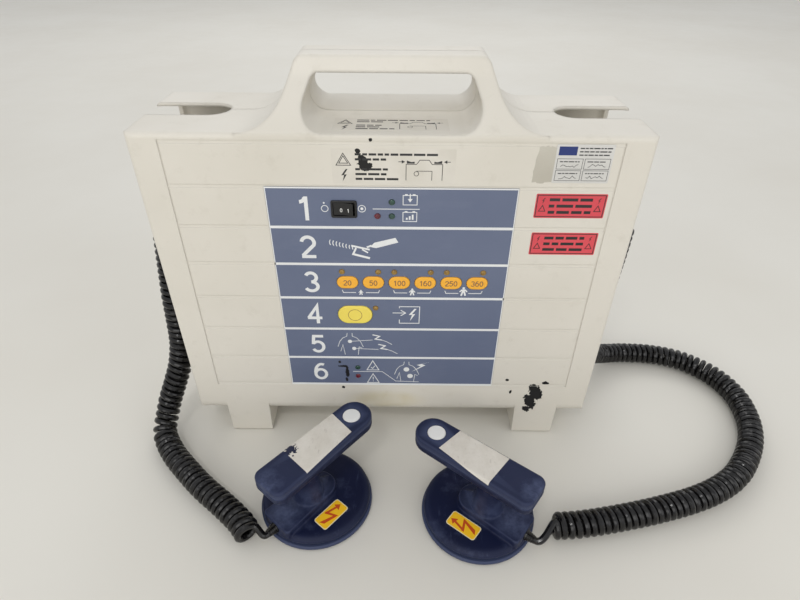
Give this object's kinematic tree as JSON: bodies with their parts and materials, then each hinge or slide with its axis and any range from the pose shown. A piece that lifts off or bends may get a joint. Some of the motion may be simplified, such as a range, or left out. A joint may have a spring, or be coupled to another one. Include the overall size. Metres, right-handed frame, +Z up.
{
  "type": "portable defibrillator",
  "caption": "Portable defibrillator: upright two-shell case with carrying handle, numbered control panel, and hand paddles on curly cords.",
  "frame": {"origin": "centre of the footprint that the case and the two paddles share on the table, 75 mm in front of the plane where the two half shells meet", "axes": "+X along the case's width to the viewer's right, +Y from the control panel to the back, +Z up"},
  "size_m": [0.6512, 0.2789, 0.3715],
  "materials": {
    "case": "fine-grained moulded plastic, yellowed and scuffed",
    "foil": "satin printed foil",
    "amber_key": "satin",
    "yellow_key": "satin",
    "green_lens": "clear moulded lens, unlit",
    "red_lens": "clear moulded lens, unlit",
    "amber_lens": "clear moulded lens, unlit",
    "black": "moulded, satin",
    "circuit": "solder-resist green",
    "steel": "zinc plated",
    "aluminium": "drawn can",
    "core": "ferrite",
    "copper": "enamelled winding",
    "relay": "moulded",
    "cells": "shrink-sleeved cells",
    "electrode": "fine brushed",
    "navy": "moulded, scuffed at the edges",
    "white": "satin",
    "rubber": "moulded",
    "cord": "glossy sheath"
  },
  "bodies": {
    "case": {"front_shell": "case", "rear_shell": "case", "case_screws": "steel", "keypad_foil": "foil", "switch_body": "black", "green_lamps": "green_lens", "red_lamps": "red_lens", "amber_lamps": "amber_lens", "keypad_board": "circuit", "main_board": "circuit", "chassis_plate": "steel", "storage_capacitor": "aluminium", "capacitor_clamp": "steel", "charging_transformer": "core", "output_inductor": "copper", "transfer_relay": "relay", "battery_pack": "cells", "beeper": "black", "left_pocket_tray": "case", "right_pocket_tray": "case", "left_contact_plate": "electrode", "right_contact_plate": "electrode", "left_gland": "rubber", "right_gland": "rubber", "left_coil": "cord", "right_coil": "cord", "left_lead": "cord", "right_lead": "cord"},
    "switch_rocker": {"switch_rocker": "black"},
    "key_20": {"key_20": "amber_key"},
    "key_50": {"key_50": "amber_key"},
    "key_100": {"key_100": "amber_key"},
    "key_160": {"key_160": "amber_key"},
    "key_250": {"key_250": "amber_key"},
    "key_360": {"key_360": "amber_key"},
    "charge_key": {"charge_key": "yellow_key"},
    "left_paddle": {"left_electrode": "electrode", "left_base": "navy", "left_housing": "navy", "left_grip_cover": "navy", "left_button_spring": "steel", "left_microswitch": "black", "left_cord_collar": "rubber", "left_base_screws": "steel"},
    "left_button": {"left_button": "white"},
    "right_paddle": {"right_electrode": "electrode", "right_base": "navy", "right_housing": "navy", "right_grip_cover": "navy", "right_button_spring": "steel", "right_microswitch": "black", "right_cord_collar": "rubber", "right_base_screws": "steel"},
    "right_button": {"right_button": "white"}
  },
  "joints": [
    {"name": "switch_tilt", "type": "hinge", "parent": "case", "child": "switch_rocker", "pos_m": [-0.0383, 0.0175, 0.26435], "axis": [0, 0, 1], "range_deg": [0, 14]},
    {"name": "key_20_press", "type": "slide", "parent": "case", "child": "key_20", "axis": [0, 1, 0], "range_m": [0, 0.001], "stiffness_N_per_m": 600, "springref_m": -0.001},
    {"name": "key_50_press", "type": "slide", "parent": "case", "child": "key_50", "axis": [0, 1, 0], "range_m": [0, 0.001], "stiffness_N_per_m": 600, "springref_m": -0.001},
    {"name": "key_100_press", "type": "slide", "parent": "case", "child": "key_100", "axis": [0, 1, 0], "range_m": [0, 0.001], "stiffness_N_per_m": 600, "springref_m": -0.001},
    {"name": "key_160_press", "type": "slide", "parent": "case", "child": "key_160", "axis": [0, 1, 0], "range_m": [0, 0.001], "stiffness_N_per_m": 600, "springref_m": -0.001},
    {"name": "key_250_press", "type": "slide", "parent": "case", "child": "key_250", "axis": [0, 1, 0], "range_m": [0, 0.001], "stiffness_N_per_m": 600, "springref_m": -0.001},
    {"name": "key_360_press", "type": "slide", "parent": "case", "child": "key_360", "axis": [0, 1, 0], "range_m": [0, 0.001], "stiffness_N_per_m": 600, "springref_m": -0.001},
    {"name": "charge_key_press", "type": "slide", "parent": "case", "child": "charge_key", "axis": [0, 1, 0], "range_m": [0, 0.001], "stiffness_N_per_m": 600, "springref_m": -0.001},
    {"name": "left_paddle_lift", "type": "slide", "parent": "case", "child": "left_paddle", "axis": [0, 0, 1], "range_m": [0, 0.08]},
    {"name": "right_paddle_lift", "type": "slide", "parent": "case", "child": "right_paddle", "axis": [0, 0, 1], "range_m": [0, 0.08]},
    {"name": "left_button_press", "type": "slide", "parent": "left_paddle", "child": "left_button", "axis": [0, 0, -1], "range_m": [0, 0.0025], "stiffness_N_per_m": 600, "springref_m": -0.002, "deforming": ["left_button_spring"]},
    {"name": "right_button_press", "type": "slide", "parent": "right_paddle", "child": "right_button", "axis": [0, 0, -1], "range_m": [0, 0.0025], "stiffness_N_per_m": 600, "springref_m": -0.002, "deforming": ["right_button_spring"]}
  ]
}
